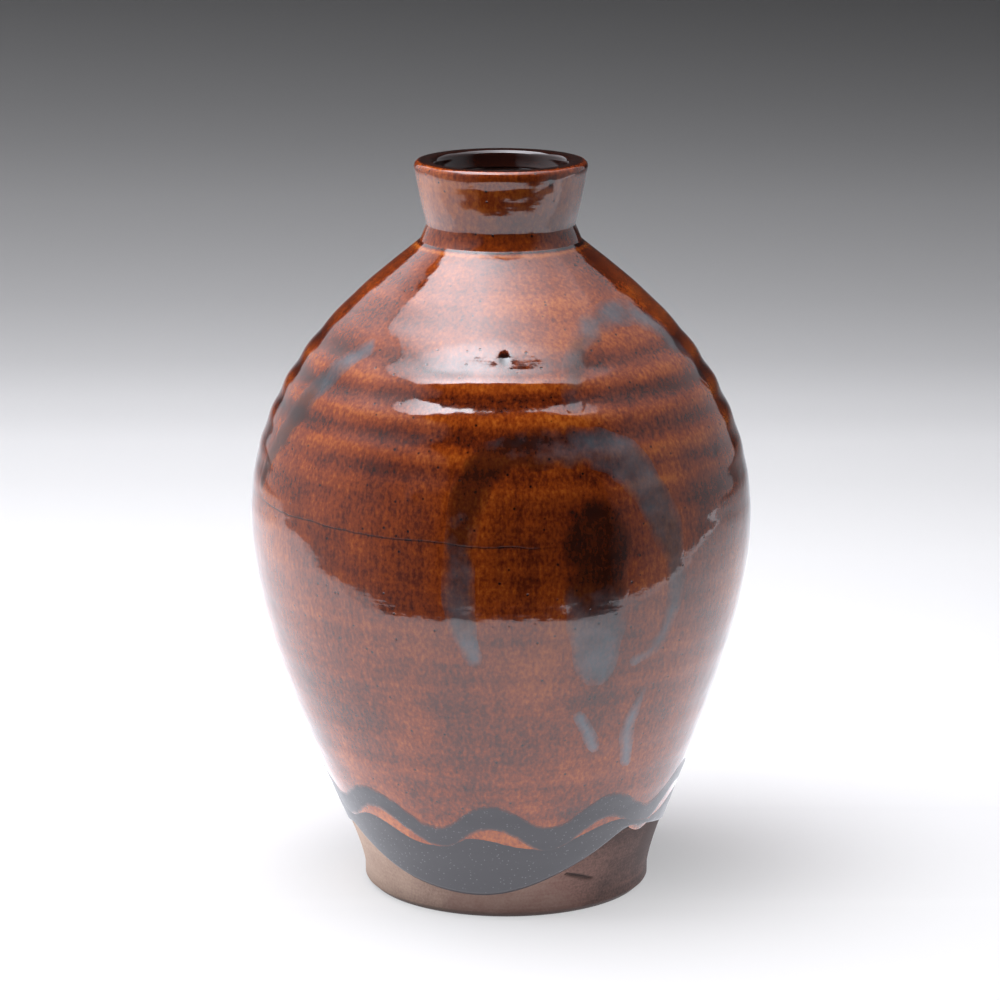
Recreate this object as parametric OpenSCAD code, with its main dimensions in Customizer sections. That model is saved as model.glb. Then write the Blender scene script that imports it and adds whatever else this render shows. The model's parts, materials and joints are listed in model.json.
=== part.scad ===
// Stoneware sake bottle: a thrown body with a luted collar, two coats of glaze and trailed slip.
// Millimetres. Z is up, the origin is the centre of the foot where it stands, the front faces -Y.

/* [Body] */
// Full height of the glazed bottle
bottle_h = 160; // [158:0.5:164]
// Diameter of the clay at the belly
belly_d = 107.8; // [104:0.2:112]
// Height of the widest point
belly_z = 82; // [79:0.5:85]
// Diameter of the bare clay just above the foot
foot_d = 62.4; // [60:0.2:65]
// Thickness of the thrown wall
wall_t = 4.4; // [3.8:0.1:5]
// Height of the floor inside
floor_z = 7.5; // [6.5:0.5:9]

/* [Foot] */
// Height of the bevel cut round the foot
bevel_h = 1.4; // [0.8:0.1:2]
// Inner radius of the foot ring
ring_r = 24; // [22:0.5:26]
// Depth turned out inside the foot ring
recess_h = 2.5; // [1.5:0.5:3.5]

/* [Neck] */
// Height of the groove where the collar is luted on
seam_z = 142.9; // [142.5:0.1:143.2]
// Radius of the clay at that groove
seam_r = 16.1; // [15.9:0.1:16.3]
// Radius of the glazed throat
throat_r = 12; // [11.6:0.1:12.3]
// Height of the straight part of the throat above the groove
throat_h = 9; // [8:0.5:10]
// Radius of the clay at the outside of the rim
rim_r = 18.2; // [17.8:0.1:18.6]
// Radius of the glazed mouth inside the rim
mouth_r = 14.4; // [14:0.1:14.8]

/* [Glaze] */
// Thickness of the amber coat
glaze_t = 0.5; // [0.4:0.1:0.7]
// Thickness of the coat inside
liner_t = 0.4; // [0.3:0.1:0.5]
// Tilt of the front dip from level
front_tilt = 39; // [34:1:42]
// Height on the axis that the front dip reaches
front_dip_z = 32; // [30:0.5:34]
// Tilt of the back dip from level
back_tilt = 14; // [10:1:18]
// Height on the axis that the back dip reaches
back_dip_z = 13; // [12:0.5:14]

/* [Trails] */
// How far the trailed slip stands above the amber coat
trail_t = 0.2; // [0.1:0.05:0.3]
// Mean height of the wave round the foot
wave_z = 23.5; // [22:0.5:25]
// Rise and fall of the wave
wave_rise = 3; // [2:0.5:4]
// Number of waves round the foot
wave_count = 9; // [7:1:11]

/* [Hidden] */
$fn = 96;
curve_steps = 18;
trail_bite = 0.15;
rim_round = 0.8;
band_step = 6;
front_turn = 14.6;
clay_top = bottle_h - glaze_t;
belly_r = belly_d / 2;
foot_r = foot_d / 2;
shoulder = [seam_r + 1.1, seam_z - 0.5];

// A point on the cubic curve with corners a, b, c and d
function cubic(a, b, c, d, t) =
    pow(1 - t, 3) * a + 3 * pow(1 - t, 2) * t * b + 3 * (1 - t) * t * t * c + pow(t, 3) * d;
function curve(a, b, c, d, n) = [for (i = [0:n]) cubic(a, b, c, d, i / n)];
function tail(p) = [for (i = [1:len(p) - 1]) p[i]];
function backwards(p) = [for (i = [len(p) - 1:-1:0]) p[i]];
function slope(p, i) =
    let (q = p[min(i + 1, len(p) - 1)] - p[max(i - 1, 0)]) q / norm(q);
// A profile that runs up the wall, moved outwards by d
function moved_out(p, d) =
    [for (i = [0:len(p) - 1]) let (s = slope(p, i)) p[i] + d * [s[1], -s[0]]];

// The outside of the thrown wall, from the foot to the belly and on to the shoulder
lower_wall = curve([foot_r, 4], [foot_r + 1.6, 16.5], [belly_r, belly_z - 28.7],
                   [belly_r, belly_z], curve_steps);
upper_wall = curve([belly_r, belly_z], [belly_r, belly_z + 35.1],
                   shoulder + [8.8, -7.8], shoulder, curve_steps);
wall = concat(lower_wall, tail(upper_wall));
// The outside of the collar, from the groove to below the rim
collar_wall = curve([seam_r, seam_z], [seam_r - 1.5, seam_z + 4.1],
                    [rim_r - 1.2, clay_top - 7], [rim_r, clay_top - rim_round], 12);
// The rim: its outer and inner corners are quarter rounds
mouth_clay_r = mouth_r + liner_t;
rim_outer = [for (a = [15:15:90])
    [rim_r - rim_round + rim_round * cos(a), clay_top - rim_round + rim_round * sin(a)]];
rim_inner = [for (a = [90:15:165])
    [mouth_clay_r + rim_round + rim_round * cos(a), clay_top - rim_round + rim_round * sin(a)]];
// The inside of the wall, from the corner of the floor up to the neck
throat_clay_r = throat_r + liner_t;
inner_wall = [for (p = moved_out(wall, -wall_t)) if (p[1] > floor_z + 4.5) p];
inner_start = inner_wall[0];
floor_corner = curve([inner_start[0] - 5, floor_z], [inner_start[0] - 2, floor_z],
                     [inner_start[0] - 0.7, inner_start[1] - 2.4], inner_start, 5);
inside_body = concat([[0, floor_z]], floor_corner, tail(inner_wall));
throat_top = seam_z + throat_h;
throat_z = shoulder[1] - 0.8;
flare_steps = 5;
flare = curve([throat_r, throat_top], [throat_r, throat_top + 3],
              [mouth_r - 0.6, clay_top - 4], [mouth_r, clay_top - 2], flare_steps);
lining_z = clay_top - 2;

// The glazed outside, from the foot to the outer corner of the rim
glazed_wall = moved_out(concat(wall, collar_wall), glaze_t);
glazed_table = [for (p = glazed_wall) [p[1], p[0]]];
function on_glaze(az, z, out) =
    let (r = lookup(z, glazed_table) + out) [r * sin(az), -r * cos(az), z];

// Height of the amber coat's lower edge, where two slanting dips overlap
function front_dip(az, r) = front_dip_z - r * tan(front_tilt) * cos(az + front_turn);
function back_dip(az, r) = back_dip_z + r * tan(back_tilt) * cos(az);
function glaze_line(az) =
    min(front_dip(az, foot_r + 2), back_dip(az, foot_r + 2));

// The wave wanders a little in height and spacing, as a hand trails it on a turning wheel
function swing(az) = wave_rise * sin(wave_count * az + 25 * sin(2 * az) + 117);
function drift(az) = -1.4 * cos(2 * az);
function wave(az) = wave_z + swing(az) + drift(az);
function wave_width(az) = 5.4 + 0.6 * sin(3 * az + 30);
function band_top(az) = max(wave_z - 5 + 0.6 * swing(az) + drift(az), glaze_line(az) + 1.5);

// A closed strip of slip on the glaze, from edge to edge of a grid of [azimuth, height] rows.
// Its outer face stands trail_t proud except along its two long edges.
module strip(rows, ring) {
    n = len(rows);
    m = len(rows[0]);
    points = concat(
        [for (row = rows) for (j = [0:m - 1])
            on_glaze(row[j][0], row[j][1], j == 0 || j == m - 1 ? 0.05 : trail_t)],
        [for (row = rows) for (j = [0:m - 1]) on_glaze(row[j][0], row[j][1], -trail_bite)]);
    back = n * m;
    last = ring ? n - 1 : n - 2;
    function at(i, j) = (i % n) * m + j;
    faces = concat(
        [for (i = [0:last]) for (j = [0:m - 2])
            for (f = [[at(i, j), at(i, j + 1), at(i + 1, j + 1)],
                      [at(i, j), at(i + 1, j + 1), at(i + 1, j)]]) f],
        [for (i = [0:last]) for (j = [0:m - 2])
            for (f = [[at(i, j), at(i + 1, j + 1), at(i, j + 1)],
                      [at(i, j), at(i + 1, j), at(i + 1, j + 1)]]) f + [back, back, back]],
        [for (i = [0:last]) for (f = [
            [at(i, 0), at(i + 1, 0), back + at(i + 1, 0)],
            [at(i, 0), back + at(i + 1, 0), back + at(i, 0)],
            [at(i, m - 1), back + at(i, m - 1), back + at(i + 1, m - 1)],
            [at(i, m - 1), back + at(i + 1, m - 1), at(i + 1, m - 1)]]) f],
        ring ? [] : [for (j = [0:m - 2]) for (f = [
            [at(0, j), back + at(0, j), back + at(0, j + 1)],
            [at(0, j), back + at(0, j + 1), at(0, j + 1)],
            [at(n - 1, j), at(n - 1, j + 1), back + at(n - 1, j + 1)],
            [at(n - 1, j), back + at(n - 1, j + 1), back + at(n - 1, j)]]) f]);
    polyhedron(points, faces, convexity = 8);
}

// A band round the pot between two heights that are functions of the azimuth
module band(low, high, rows) {
    strip([for (az = [0:band_step:359])
        [for (j = [0:rows]) [az, low(az) + (high(az) - low(az)) * j / rows]]], true);
}

// A point on the smooth path through a list of points, t counted in spans
function path_point(p, t) =
    let (i = min(floor(t), len(p) - 2), u = t - i, a = p[max(i - 1, 0)], b = p[i], c = p[i + 1],
         d = p[min(i + 2, len(p) - 1)])
    0.5 * (2 * b + (c - a) * u + (2 * a - 5 * b + 4 * c - d) * u * u
           + (3 * b - a - 3 * c + d) * u * u * u);

// One pull of the trailer: a stroke along [azimuth, height] points, w wide in the middle
module stroke(path, w) {
    spans = len(path) - 1;
    steps = 4 * spans;
    strip([for (i = [0:steps])
        let (t = i * spans / steps, p = path_point(path, t),
             a = path_point(path, max(t - 0.1, 0)), b = path_point(path, min(t + 0.1, spans)),
             per_deg = lookup(p[1], glazed_table) * PI / 180,
             run = [(b[0] - a[0]) * per_deg, b[1] - a[1]], side = [run[1], -run[0]] / norm(run),
             half = w / 2 * (0.45 + 0.55 * pow(sin(180 * i / steps), 0.4)))
        [for (j = [-1:2 / 3:1.01]) [p[0] + j * half * side[0] / per_deg, p[1] + j * half * side[1]]]],
        false);
}

// Everything below the lower edge of the amber coat
module bare_clay() {
    size = 4 * belly_d;
    intersection() {
        translate([0, 0, front_dip_z]) rotate([0, 0, -front_turn]) rotate([front_tilt, 0, 0])
            translate([-size / 2, -size / 2, -size]) cube(size);
        translate([0, 0, back_dip_z]) rotate([-back_tilt, 0, 0])
            translate([-size / 2, -size / 2, -size]) cube(size);
    }
}

// The thrown body, with its floor and the ring turned in its foot
module clay_body() {
    foot = [[0, recess_h], [ring_r - 1, recess_h], [ring_r, recess_h - 0.8], [ring_r + 0.4, 0],
            [foot_r - bevel_h - 0.2, 0], [foot_r - 0.2, bevel_h]];
    neck = [[seam_r, seam_z], [throat_clay_r, seam_z], [throat_clay_r + 0.8, throat_z]];
    color("dimgray") rotate_extrude() polygon(concat(foot, wall, neck, backwards(inside_body)));
}

// The collar, thrown apart and luted on at the groove
module neck_collar() {
    inner = [for (p = backwards(flare)) p + [liner_t, 0]];
    color("rosybrown") rotate_extrude()
        polygon(concat(collar_wall, rim_outer, rim_inner, inner, [[throat_clay_r, seam_z]]));
}

// The coat poured inside, up to the inner corner of the rim
module liner_glaze() {
    face = moved_out(inside_body, -liner_t);
    clay = concat(inside_body, [[throat_clay_r + 0.8, throat_z], [throat_clay_r, seam_z]],
                  [for (p = flare) p + [liner_t, 0]]);
    glazed = concat([[0, floor_z + liner_t]], tail(face),
                    [[throat_r + 0.8, throat_z], [throat_r, seam_z]], flare);
    color("black") rotate_extrude() polygon(concat(clay, backwards(glazed)));
}

// The amber coat: over the rim and down the outside to its slanting lower edge
module amber_glaze() {
    clay = concat(wall, collar_wall, rim_outer, rim_inner, [[mouth_clay_r, lining_z]]);
    over = concat(glazed_wall, moved_out(concat(rim_outer, rim_inner), glaze_t),
                  [[mouth_r, lining_z]]);
    color("saddlebrown") difference() {
        rotate_extrude() polygon(concat(clay, backwards(over)));
        bare_clay();
    }
}

// The dark band along the lower edge of the amber coat
module foot_band() {
    color("darkslategray")
        band(function (az) glaze_line(az) + 0.3, function (az) band_top(az), 3);
}

// The wave trailed round the pot above the foot
module wave_trail() {
    color("slategray")
        band(function (az) wave(az) - wave_width(az) / 2,
             function (az) wave(az) + wave_width(az) / 2, 3);
}

// The figure on the front right: an arch, a loop below it and two falling strokes
module front_trail() {
    color("slategray") {
        stroke([[20, 114], [27, 124], [46, 130], [64, 126], [73, 112]], 7);
        stroke([[-5, 64], [-8, 80], [-4, 98], [12, 106], [27, 104], [37, 90], [40, 75], [38, 64]], 7);
        stroke([[17, 100], [18, 88], [19, 74], [19, 58], [25, 43]], 5);
        stroke([[26, 99], [27, 86], [28, 70], [33, 53], [37, 37]], 5);
    }
}

// The figure on the left and round the back
module side_trail() {
    color("slategray") {
        stroke([[-40, 127], [-52, 120], [-60, 108], [-70, 99], [-72, 88]], 5);
        stroke([[-92, 66], [-88, 82], [-92, 98], [-108, 106], [-123, 104], [-133, 90], [-136, 75],
                [-134, 64]], 7);
        stroke([[-112, 100], [-113, 86], [-114, 70], [-119, 53], [-122, 40]], 5);
    }
}

clay_body();
neck_collar();
liner_glaze();
amber_glaze();
foot_band();
wave_trail();
front_trail();
side_trail();
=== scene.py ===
import json
import math

import bmesh
import bpy
import numpy as np
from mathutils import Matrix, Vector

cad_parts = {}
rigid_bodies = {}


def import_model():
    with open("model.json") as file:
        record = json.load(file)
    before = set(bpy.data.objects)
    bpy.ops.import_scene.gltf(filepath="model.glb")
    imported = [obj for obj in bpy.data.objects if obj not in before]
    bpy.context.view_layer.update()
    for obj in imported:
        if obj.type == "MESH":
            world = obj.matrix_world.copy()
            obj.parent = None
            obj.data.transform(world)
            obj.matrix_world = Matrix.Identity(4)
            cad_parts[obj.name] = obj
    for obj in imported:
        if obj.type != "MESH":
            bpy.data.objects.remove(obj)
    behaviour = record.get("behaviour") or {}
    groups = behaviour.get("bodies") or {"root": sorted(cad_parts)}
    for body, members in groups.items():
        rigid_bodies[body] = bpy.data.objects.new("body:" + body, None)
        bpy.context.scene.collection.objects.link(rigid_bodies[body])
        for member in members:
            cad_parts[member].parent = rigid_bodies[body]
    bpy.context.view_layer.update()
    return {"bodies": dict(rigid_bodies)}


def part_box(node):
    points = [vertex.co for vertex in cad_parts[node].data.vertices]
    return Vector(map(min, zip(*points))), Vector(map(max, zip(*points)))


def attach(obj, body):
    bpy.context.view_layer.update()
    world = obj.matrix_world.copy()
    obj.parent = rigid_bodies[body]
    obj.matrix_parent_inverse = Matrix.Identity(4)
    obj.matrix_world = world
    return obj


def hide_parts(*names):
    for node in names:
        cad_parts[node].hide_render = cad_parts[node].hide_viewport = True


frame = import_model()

# A thrown stoneware sake bottle under amber iron glaze with trailed dark slip. Lengths in
# the makers' sections are millimetres, as a potter measures them; every mesh is scaled to
# metres as it is made. Azimuths are degrees round the pot from the front (-Y), positive
# towards +X.

# --- Clay body -------------------------------------------------------------------------
# A round-bellied body thrown in brown-grey stoneware, with a shallow ring turned in its
# foot. Only the foot stays bare: the rest is under glaze.

MM = 0.001
FULL_TURN = 2 * math.pi
body = next(iter(frame["bodies"]))

foot_radius = 31.2
wall_thickness = 4.4
floor_height = 7.5
bevel_height = 1.4
ring_radius = 24
recess_height = 2.5
seam_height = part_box("clay_body")[1].z / MM
belly_radius = 53.9
belly_height = 82


def cubic(a, b, c, d, steps):
    """Points along the cubic curve with corners a, b, c and d."""
    t = np.linspace(0, 1, steps + 1)[:, None]
    a, b, c, d = (np.array(corner, float) for corner in (a, b, c, d))
    return (1 - t) ** 3 * a + 3 * (1 - t) ** 2 * t * b + 3 * (1 - t) * t * t * c + t**3 * d


def arc(centre, radius, start, end, steps):
    """Points round an arc, from one angle to another in degrees."""
    turn = np.radians(np.linspace(start, end, steps + 1))
    return np.stack([centre[0] + radius * np.cos(turn), centre[1] + radius * np.sin(turn)], 1)


def smooth(edge0, edge1, x):
    """0 below edge0, 1 above edge1, and an even S between them."""
    t = np.clip((x - edge0) / (edge1 - edge0), 0, 1)
    return t * t * (3 - 2 * t)


def bell(x, middle, width):
    """A round hump of height 1 in the middle that has faded at a distance of width."""
    return np.exp(-2.5 * ((x - middle) / width) ** 2)


def wander(seed, azimuth, height, waves, size):
    """An even, seeded unevenness between about -1 and 1 that closes round the pot.
    waves is the most waves round it, and size the shortest wave up it in millimetres."""
    rng = np.random.default_rng(seed)
    total = np.zeros(np.broadcast(azimuth, height).shape)
    terms = 14
    for _ in range(terms):
        around = rng.integers(0, waves + 1)
        up = rng.uniform(-1, 1) * FULL_TURN / size
        total += np.cos(around * np.radians(azimuth) + up * height + rng.uniform(0, FULL_TURN))
    return total / math.sqrt(terms) / 1.4


class Profile:
    """A line up the pot's wall in (radius, height), walked by its length."""

    def __init__(self, points):
        gaps = np.hypot(*np.diff(points, axis=0).T)
        keep = np.concatenate([[True], gaps > 1e-6])
        self.points = points[keep]
        self.along = np.concatenate([[0], np.cumsum(gaps[gaps > 1e-6])])
        slope = np.gradient(self.points, self.along, axis=0)
        slope /= np.hypot(*slope.T)[:, None]
        self.normals = np.stack([slope[:, 1], -slope[:, 0]], 1)

    def at(self, along, out=0.0):
        """(radius, height) at a length along the line, moved outwards by out."""
        radius = np.interp(along, self.along, self.points[:, 0])
        height = np.interp(along, self.along, self.points[:, 1])
        across = np.interp(along, self.along, self.normals[:, 0])
        up = np.interp(along, self.along, self.normals[:, 1])
        return radius + out * across, height + out * up

    def height(self, along):
        """The height at a length along the line."""
        return np.interp(along, self.along, self.points[:, 1])

    def reach(self, height):
        """The length along the line where it first comes to a height."""
        top = int(np.argmax(self.points[:, 1]))
        return np.interp(height, self.points[: top + 1, 1], self.along[: top + 1])


# The outside of the clay: belly, shoulder, groove, collar, rim and the lip inside it
rim_radius = 18.2
rim_round = 0.8
rim_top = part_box("neck_collar")[1].z / MM
throat_radius = 12.4
lip_radius = 14.8
shoulder = (17.2, seam_height - 0.5)
lower_wall = cubic((foot_radius, 4), (foot_radius + 1.6, 16.5),
                   (belly_radius, belly_height - 28.7), (belly_radius, belly_height), 240)
upper_wall = cubic((belly_radius, belly_height), (belly_radius, belly_height + 35.1),
                   (shoulder[0] + 8.8, shoulder[1] - 7.8), shoulder, 240)
groove = cubic(shoulder, (16.5, seam_height + 0.1), (16.2, seam_height + 0.4),
               (16.1, seam_height + 1.1), 12)
lean = [  # height over the seam, and degrees by which the collar's wall leans outwards there
    (1.1, -10), (1.8, -13), (2.4, -5), (3.1, 8), (4.2, 14), (5.2, 15.5), (6.4, 14.5), (7.4, 12.6),
    (9.0, 11.4), (11.0, 10.6), (13.6, 9.8), (14.3, 13.5), (15.0, 13.5), (15.8, 6)]
collar_height = np.linspace(seam_height + 1.1, rim_top - rim_round, 90)
leaning = np.interp(collar_height - seam_height, *np.array(lean, float).T)
growth = np.cumsum(np.tan(np.radians(leaning))) * (collar_height[1] - collar_height[0])
collar_wall = np.stack([rim_radius + growth - growth[-1], collar_height], 1)
rim = np.vstack([
    arc((rim_radius - rim_round, rim_top - rim_round), rim_round, 0, 90, 12),
    arc((lip_radius + rim_round, rim_top - rim_round), rim_round, 90, 180, 12),
])
lip = cubic((lip_radius, rim_top - rim_round), (lip_radius - 0.3, rim_top - 4),
            (throat_radius, seam_height + 11.5), (throat_radius, seam_height + 7), 30)
outside = Profile(np.vstack([
    lower_wall, upper_wall[1:], groove[1:], collar_wall[1:], rim, lip[1:]]))
rim_start = outside.reach(rim_top - rim_round)
outside_end = outside.along[-1]


ring_pitch = 7.0  # from one throwing ring to the next
ring_height = 112.2  # the crest of one of them
cut_height = 121.0  # the shallow line cut across the front of the shoulder


def relief(azimuth, height):
    """How far the thrown surface stands off its true profile: the rings that the fingers
    leave, strongest on the shoulder, and the slow wobble of a hand-turned pot."""
    strength = 0.165 * bell(height, 113.5, 17) + 0.022 + 0.03 * bell(height, 96, 10)
    strength = strength * smooth(6, 24, height) * (1 - smooth(130, 139, height))
    sway = 0.9 * wander(3, azimuth, height, 2, 60)
    turns = FULL_TURN * (height - ring_height) / ring_pitch
    rings = np.cos(turns + sway * smooth(118, 90, height))
    fine = wander(5, azimuth * 0, height, 0, 2.6) * 0.012
    dents = wander(8, azimuth, height, 7, 22) * 0.035 + wander(9, azimuth, height, 3, 60) * 0.04
    calm = smooth(0, 20, height) * (1 - smooth(136, 142, height))
    chatter = 0.012 * wander(12, azimuth, height, 1, 2.2) * (1 - smooth(18, 26, height))
    neck = smooth(seam_height + 3, seam_height + 6, height) * (1 - smooth(156.5, 158, height))
    broad_press = 0.022 * wander(14, azimuth, height, 4, 9)
    small_press = 0.012 * wander(15, azimuth, height, 12, 3)
    flat_side = 0.025 * (height - 149) * bell(azimuth, -3, 22)
    pressed = neck * (broad_press + small_press - flat_side)
    cut = bell(height, cut_height + 0.35 * wander(16, azimuth, 0, 12, 10), 1.3)
    cut_ends = 1 - smooth(26, 36, np.abs(azimuth - 8))
    broken = np.clip(0.75 + 0.5 * wander(17, azimuth, 0, 40, 10), 0, 2)
    cut = -0.15 * cut * cut_ends * broken
    thrown = strength * rings + (fine + dents) * calm
    return thrown + chatter * smooth(1, 3, height) + pressed + cut


foot_shift = 1.2
shift_ends = 55  # the height where the shift has died away


def settled(points):
    """Points in metres, of a pot whose foot sits a little to the right of its belly."""
    points[:, 0] += foot_shift * (1 - smooth(0, shift_ends, points[:, 2]))
    return points * MM


def rows_mesh(name, rows, columns, attributes=None):
    """A closed surface from rows of (radius, height) round the pot; the last row joins the
    first, or both ends close on the axis. attributes are values for each row and column."""
    turn = np.radians(np.linspace(-180, 180, columns, endpoint=False))
    points, values, first = [], [], []
    for row in rows:
        radius, height = (np.broadcast_to(part, columns) for part in row[:2])
        first.append(sum(len(p) for p in points))
        if np.all(radius < 1e-6):
            points.append(np.array([[0, 0, height[0]]]))
        else:
            points.append(np.stack([radius * np.sin(turn), -radius * np.cos(turn), height], 1))
    sizes = [len(p) for p in points]
    faces = []
    pairs = list(zip(range(len(rows)), range(1, len(rows))))
    if sizes[0] > 1 and sizes[-1] > 1:
        pairs.append((len(rows) - 1, 0))
    column = np.arange(columns)
    right = (column + 1) % columns
    for low, high in pairs:
        a, b = int(first[low]), int(first[high])
        if sizes[low] == 1:
            faces += np.stack([np.full(columns, a), b + right, b + column], 1).tolist()
        elif sizes[high] == 1:
            faces += np.stack([a + column, a + right, np.full(columns, b)], 1).tolist()
        else:
            faces += np.stack([a + column, a + right, b + right, b + column], 1).tolist()
    mesh = bpy.data.meshes.new(name)
    mesh.from_pydata(settled(np.vstack(points)), [], faces)
    for key, grid in (attributes or {}).items():
        flat = [np.broadcast_to(line, columns)[:size] for line, size in zip(grid, sizes)]
        layer = mesh.attributes.new(key, "FLOAT", "POINT")
        layer.data.foreach_set("value", np.concatenate(flat).astype(np.float32))
    return finished(name, mesh)


def finished(name, mesh):
    """A smooth-shaded object of a mesh, with its faces turned outwards."""
    work = bmesh.new()
    work.from_mesh(mesh)
    bmesh.ops.recalc_face_normals(work, faces=work.faces)
    work.to_mesh(mesh)
    work.free()
    mesh.shade_smooth()
    piece = bpy.data.objects.new(name, mesh)
    bpy.context.scene.collection.objects.link(piece)
    return piece


def linear(code):
    """A linear colour from an sRGB hex code."""
    parts = [int(code[i:i + 2], 16) / 255 for i in (1, 3, 5)]
    return [p / 12.92 if p <= 0.04045 else ((p + 0.055) / 1.055) ** 2.4 for p in parts] + [1]


def add(tree, kind, inputs=None, stops=None, **settings):
    """Adds one shader node, with its settings, its inputs as values or links, and the
    colours or levels of a ramp as stops."""
    made = tree.nodes.new("ShaderNode" + kind)
    for key, value in settings.items():
        setattr(made, key, value)
    for key, value in (inputs or {}).items():
        if isinstance(value, bpy.types.NodeSocket):
            tree.links.new(value, made.inputs[key])
        else:
            made.inputs[key].default_value = value
    if stops:
        ramp = made.color_ramp.elements
        while len(ramp) < len(stops):
            ramp.new(0.5)
        for element, (place, colour) in zip(ramp, stops):
            element.position = place
            element.color = linear(colour) if isinstance(colour, str) else [colour] * 3 + [1]
    return made


# Iron glaze over clay: how much it bends light, and the amber coat's fine gloss
GLAZE_IOR = 1.58
AMBER_ROUGHNESS = 0.07

# Socket numbers of a colour Mix node
FACTOR, FIRST, SECOND, MIXED = 0, 6, 7, 2


def new_material(name):
    """An empty material and its node tree, with a Principled shader wired to the output."""
    made = bpy.data.materials.new(name)
    made.use_nodes = True
    tree = made.node_tree
    tree.nodes.clear()
    shader = add(tree, "BsdfPrincipled")
    add(tree, "OutputMaterial", {"Surface": shader.outputs[0]})
    return made, tree, shader


def in_millimetres(tree, stretch=(1, 1, 1)):
    """Object coordinates in millimetres, squeezed along an axis to lengthen a pattern."""
    place = add(tree, "TexCoord")
    scale = [s / MM for s in stretch]
    return add(tree, "VectorMath", {0: place.outputs["Object"], 1: scale},
               operation="MULTIPLY").outputs[0]


def total(tree, parts):
    """The sum of sockets, each times its number."""
    whole = None
    for socket, share in parts:
        inputs = {0: socket, 1: share, 2: whole if whole is not None else 0.0}
        whole = add(tree, "Math", inputs, operation="MULTIPLY_ADD").outputs[0]
    return whole


# The clay outside, its groove-scored foot, and the inside that the lining covers
scar_from, scar_to = (23.2, 9.8), (35.4, 7.6)


def scar(azimuth, height):
    """A short slit that tore in the wet clay just above the foot, 1 at its bottom."""
    along = np.clip((azimuth - scar_from[0]) / (scar_to[0] - scar_from[0]), 0, 1)
    middle = scar_from[1] + along * (scar_to[1] - scar_from[1])
    wide = 0.25 + 0.75 * np.sin(math.pi * along) ** 0.6
    inside = (azimuth > scar_from[0]) & (azimuth < scar_to[0])
    return inside * bell(height, middle, 0.75 * wide)


columns = 400
azimuth = np.linspace(-180, 180, columns, endpoint=False)
foot = [(0, recess_height), (ring_radius - 1, recess_height), (ring_radius, recess_height - 0.8),
        (ring_radius + 0.4, 0.05), (ring_radius + 0.7, 0),
        (foot_radius - bevel_height - 0.4, 0), (foot_radius - bevel_height - 0.1, 0.12),
        (foot_radius - 0.25, bevel_height - 0.15), (foot_radius - 0.05, bevel_height + 0.2)]
wall_along = np.concatenate([
    np.arange(0, 22, 0.35), np.linspace(22, outside.reach(seam_height), 90)])
clay_rows = list(foot)
# Painted shade: the clay's colour is darkened on the foot's underside and lower bevel, where shade
# falls, and along the slit above the foot
painted_foot_and_slit_shade = [np.full(columns, 0.85)] * (len(foot) - 2) + [np.full(columns, 0.3), np.zeros(columns)]
for step in wall_along:
    high = outside.height(step)
    pull = scar(azimuth, high)
    clay_rows.append(outside.at(step, relief(azimuth, high) - 0.02 - 0.5 * pull))
    painted_foot_and_slit_shade.append(pull)
inner_steps = np.linspace(outside.reach(shoulder[1]), outside.reach(floor_height + 5), 50)
clay_rows += [(throat_radius, seam_height), (throat_radius + 0.8, shoulder[1] - 0.8)]
clay_rows += [outside.at(step, -wall_thickness) for step in inner_steps]
clay_rows += [(27.4, floor_height + 2), (24, floor_height), (12, floor_height), (0, floor_height)]
painted_foot_and_slit_shade += [np.zeros(columns)] * (len(clay_rows) - len(painted_foot_and_slit_shade))
clay_body = rows_mesh("clay_body_thrown", clay_rows, columns, {"painted_foot_and_slit_shade": painted_foot_and_slit_shade})

# Stoneware clay, turned and fired bare: matt, brown-grey with iron specks and fine grit,
# so the eye gets a dry surface that only the light from the side makes rough. Its colour
# is also painted lighter towards the left, as painted light from the lit side.
bare_stoneware, tree, shader = new_material("bare_stoneware")
grit = add(tree, "TexNoise", {"Vector": in_millimetres(tree), "Scale": 1 / 0.5, "Detail": 4})
cloud = add(tree, "TexNoise", {"Vector": in_millimetres(tree), "Scale": 1 / 12, "Detail": 3})
turned = add(tree, "TexNoise", {"Vector": in_millimetres(tree, (0.02, 0.02, 1)),
                                "Scale": 1 / 0.7, "Detail": 3})
# Painted light: the clay is made lighter towards the left (-X), the side the light comes from
painted_light_on_left = add(tree, "MapRange", {"Value": add(tree, "SeparateXYZ", {
    0: in_millimetres(tree)}).outputs[0], "From Min": 32, "From Max": -32})
blend = total(tree, [(grit.outputs[0], 0.22), (cloud.outputs[0], 0.34), (turned.outputs[0], 0.12),
                     (painted_light_on_left.outputs[0], 0.50)])
clay_colour = add(tree, "ValToRGB", {"Fac": blend}, stops=[
    (0.36, "#3C2B26"), (0.50, "#6E5148"), (0.64, "#7E665B"), (0.84, "#A68E7D")])
# Painted shade darkens the foot's underside, its lower bevel and the slit
painted_shade_amount = add(tree, "Attribute", attribute_name="painted_foot_and_slit_shade")
shaded_clay_colour = add(tree, "Mix", {FACTOR: painted_shade_amount.outputs["Fac"], FIRST: clay_colour.outputs[0],
                              SECOND: linear("#140A07")}, data_type="RGBA")
surface = total(tree, [(grit.outputs[0], 0.05), (turned.outputs[0], 0.05)])
bump = add(tree, "Bump", {"Height": surface, "Distance": MM})
tree.links.new(shaded_clay_colour.outputs[MIXED], shader.inputs["Base Color"])
tree.links.new(bump.outputs[0], shader.inputs["Normal"])
shader.inputs["Roughness"].default_value = 0.82
shader.inputs["Specular IOR Level"].default_value = 0.35
clay_body.data.materials.append(bare_stoneware)
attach(clay_body, body)
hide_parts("clay_body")

# --- Neck collar -----------------------------------------------------------------------
# The collar of the neck, thrown apart in the same clay and luted on at the groove. It is
# wholly under glaze.

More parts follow.
